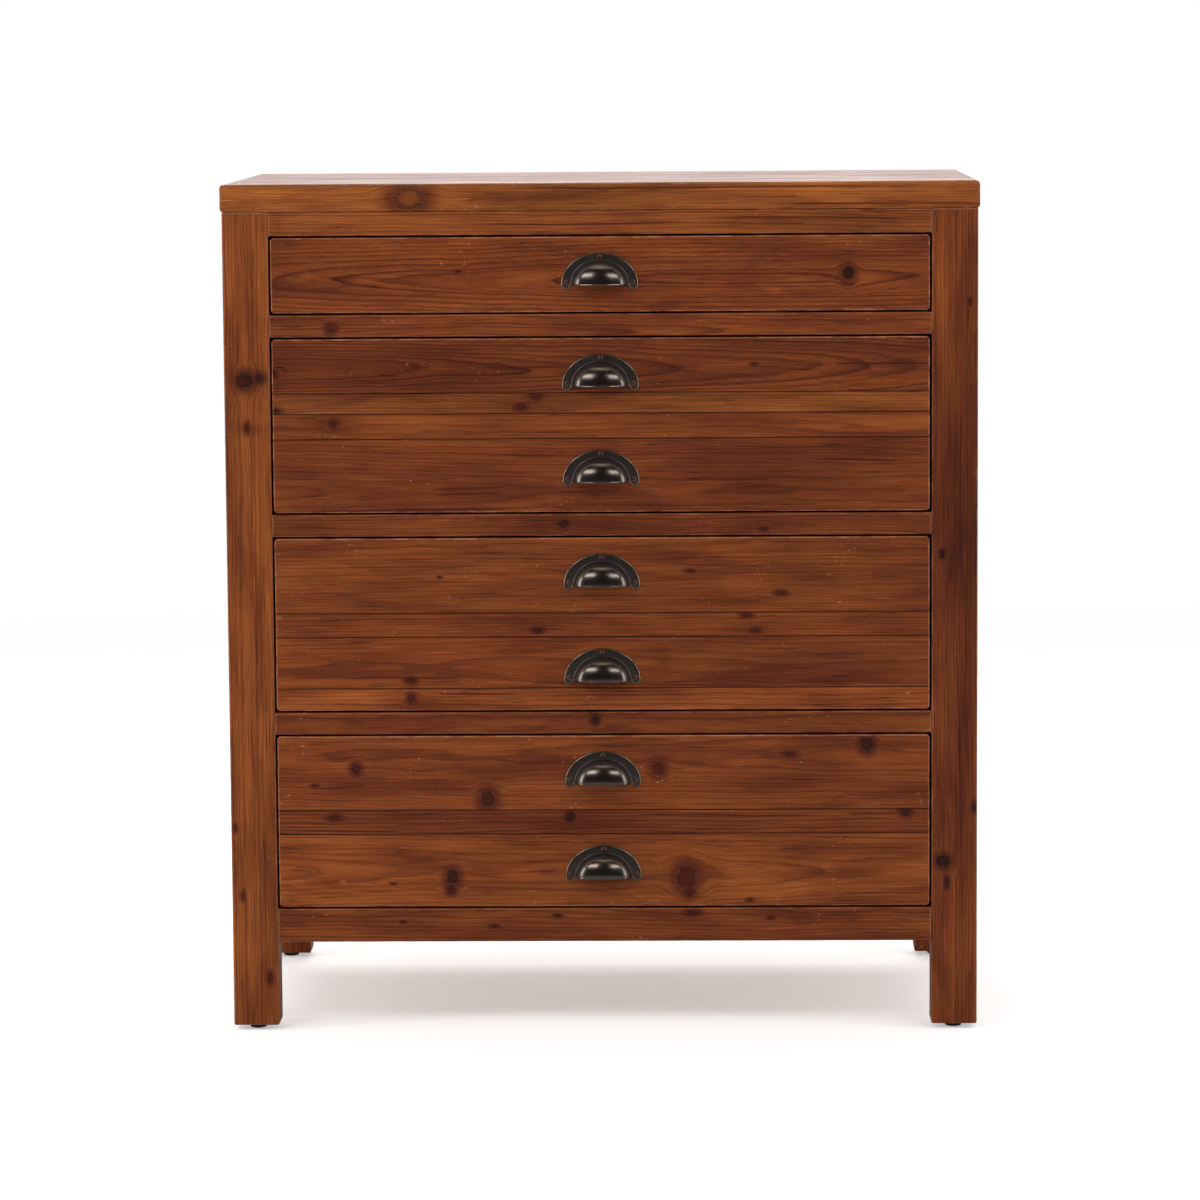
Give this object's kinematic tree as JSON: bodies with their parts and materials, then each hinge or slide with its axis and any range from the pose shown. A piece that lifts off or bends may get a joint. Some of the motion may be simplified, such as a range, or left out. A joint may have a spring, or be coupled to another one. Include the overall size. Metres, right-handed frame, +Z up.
{
  "type": "seed storage cabinet",
  "caption": "Floor-standing pine chest on short legs: a shallow drawer over deep drawers with boarded, inset fronts and dark cup pulls, made for seed packets.",
  "frame": {"origin": "on the floor under the middle of the whole chest, pulls included", "axes": "+X to the right of someone facing the drawers, +Y to the back, +Z up; the drawers open along -Y"},
  "size_m": [0.884, 0.522, 1],
  "materials": {
    "waxed_pine": "stained and waxed, worn pale along the edges",
    "raw_pine": "planed, unfinished",
    "plywood": "sanded, unfinished",
    "aged_bronze": "dark patina, rubbed to a shine on the edges",
    "bronze_screw": "reddish patina",
    "zinc_screw": "zinc plated",
    "glide_plastic": "moulded, scuffed"
  },
  "bodies": {
    "carcass": {"top_boards": "waxed_pine", "front_left_post": "waxed_pine", "front_right_post": "waxed_pine", "rear_left_post": "waxed_pine", "rear_right_post": "waxed_pine", "top_rail": "waxed_pine", "divider_rail_1": "waxed_pine", "divider_rail_2": "waxed_pine", "divider_rail_3": "waxed_pine", "bottom_rail": "waxed_pine", "left_top_side_rail": "waxed_pine", "left_bottom_side_rail": "waxed_pine", "right_top_side_rail": "waxed_pine", "right_bottom_side_rail": "waxed_pine", "left_side_panel": "waxed_pine", "right_side_panel": "waxed_pine", "back_top_rail": "waxed_pine", "back_bottom_rail": "waxed_pine", "back_panel": "plywood", "bottom_panel": "plywood", "bottom_cleats": "raw_pine", "drawer_1_runners": "raw_pine", "drawer_2_runners": "raw_pine", "drawer_3_runners": "raw_pine", "drawer_4_runners": "raw_pine", "top_kickers": "raw_pine", "drawer_stops": "raw_pine", "foot_glides": "glide_plastic", "frame_screws": "zinc_screw"},
    "drawer_1": {"drawer_1_front": "waxed_pine", "drawer_1_left_side": "raw_pine", "drawer_1_right_side": "raw_pine", "drawer_1_back": "raw_pine", "drawer_1_bottom": "plywood", "drawer_1_pull": "aged_bronze", "drawer_1_pull_screws": "bronze_screw"},
    "drawer_2": {"drawer_2_front": "waxed_pine", "drawer_2_left_side": "raw_pine", "drawer_2_right_side": "raw_pine", "drawer_2_back": "raw_pine", "drawer_2_bottom": "plywood", "drawer_2_upper_pull": "aged_bronze", "drawer_2_lower_pull": "aged_bronze", "drawer_2_pull_screws": "bronze_screw"},
    "drawer_3": {"drawer_3_front": "waxed_pine", "drawer_3_left_side": "raw_pine", "drawer_3_right_side": "raw_pine", "drawer_3_back": "raw_pine", "drawer_3_bottom": "plywood", "drawer_3_upper_pull": "aged_bronze", "drawer_3_lower_pull": "aged_bronze", "drawer_3_pull_screws": "bronze_screw"},
    "drawer_4": {"drawer_4_front": "waxed_pine", "drawer_4_left_side": "raw_pine", "drawer_4_right_side": "raw_pine", "drawer_4_back": "raw_pine", "drawer_4_bottom": "plywood", "drawer_4_upper_pull": "aged_bronze", "drawer_4_lower_pull": "aged_bronze", "drawer_4_pull_screws": "bronze_screw"}
  },
  "joints": [
    {"name": "drawer_1_slide", "type": "slide", "parent": "carcass", "child": "drawer_1", "axis": [0, -1, 0], "range_m": [0, 0.35]},
    {"name": "drawer_2_slide", "type": "slide", "parent": "carcass", "child": "drawer_2", "axis": [0, -1, 0], "range_m": [0, 0.35]},
    {"name": "drawer_3_slide", "type": "slide", "parent": "carcass", "child": "drawer_3", "axis": [0, -1, 0], "range_m": [0, 0.35]},
    {"name": "drawer_4_slide", "type": "slide", "parent": "carcass", "child": "drawer_4", "axis": [0, -1, 0], "range_m": [0, 0.35]}
  ]
}
